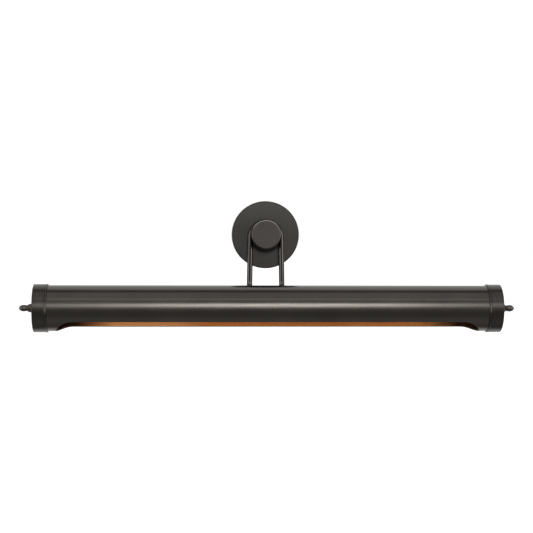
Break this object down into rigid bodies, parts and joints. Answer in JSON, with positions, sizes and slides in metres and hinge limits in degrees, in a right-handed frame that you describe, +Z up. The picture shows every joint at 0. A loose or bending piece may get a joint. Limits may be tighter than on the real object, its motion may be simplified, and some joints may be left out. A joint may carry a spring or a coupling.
{
  "type": "picture light",
  "caption": "Wall picture light: long tilting tubular shade with copper lining, hung on a hairpin tube arm from a round canopy, with finial thumb screws at the ends.",
  "frame": {"origin": "centre of the canopy's back face, in the wall plane, midway between the two box screw slots", "axes": "+X along the shade to the right seen from the room, +Y into the wall, +Z up"},
  "size_m": [0.7688, 0.1577, 0.2066],
  "materials": {
    "bronze": "dark bronze, satin",
    "bronze_turned": "dark bronze, fine turning marks round the cap",
    "bronze_polished": "dark bronze, half polished",
    "copper_lining": "copper-coloured satin lacquer",
    "zinc_steel": "zinc plated",
    "green_screw": "green lacquer",
    "black_plastic": "matt",
    "lead_insulation_black": "matt",
    "lead_insulation_white": "matt",
    "fibre": "vulcanised fibre",
    "porcelain": "white glaze",
    "contact_brass": "plain",
    "lamp_cap_metal": "bright",
    "lamp_glass": "frosted"
  },
  "bodies": {
    "wall_mount": {"canopy": "bronze", "mounting_strap": "zinc_steel", "ground_screw": "green_screw", "center_nipple": "zinc_steel", "nipple_locknuts": "zinc_steel", "hub_spool": "bronze", "hub_cap": "bronze", "hairpin_arm": "bronze", "arm_nuts": "zinc_steel", "arm_bushings": "black_plastic", "lamp_carrier": "zinc_steel", "left_end_bracket": "zinc_steel", "right_end_bracket": "zinc_steel", "left_pivot_nut": "zinc_steel", "right_pivot_nut": "zinc_steel", "bracket_screws": "zinc_steel", "lampholder_screws": "zinc_steel", "lead_black": "lead_insulation_black", "lead_white": "lead_insulation_white", "lampholder_bracket_1": "zinc_steel", "lampholder_1": "porcelain", "screw_shell_1": "contact_brass", "lamp_base_1": "lamp_cap_metal", "lamp_glass_1": "lamp_glass", "lampholder_bracket_2": "zinc_steel", "lampholder_2": "porcelain", "screw_shell_2": "contact_brass", "lamp_base_2": "lamp_cap_metal", "lamp_glass_2": "lamp_glass", "lampholder_bracket_3": "zinc_steel", "lampholder_3": "porcelain", "screw_shell_3": "contact_brass", "lamp_base_3": "lamp_cap_metal", "lamp_glass_3": "lamp_glass"},
    "shade": {"shade_tube": "bronze", "reflector_liner": "copper_lining", "left_end_cap": "bronze_turned", "right_end_cap": "bronze_turned", "left_friction_washer": "fibre", "right_friction_washer": "fibre"},
    "left_finial": {"left_finial": "bronze_polished"},
    "right_finial": {"right_finial": "bronze_polished"}
  },
  "joints": [
    {"name": "shade_tilt", "type": "hinge", "parent": "wall_mount", "child": "shade", "pos_m": [0, -0.12, -0.1146], "axis": [1, 0, 0], "range_deg": [-15, 33]},
    {"name": "left_finial_turn", "type": "hinge", "parent": "wall_mount", "child": "left_finial", "pos_m": [-0.362, -0.12, -0.1146], "axis": [-1, 0, 0], "range_deg": [0, 360]},
    {"name": "right_finial_turn", "type": "hinge", "parent": "wall_mount", "child": "right_finial", "pos_m": [0.362, -0.12, -0.1146], "axis": [1, 0, 0], "range_deg": [0, 360]}
  ]
}
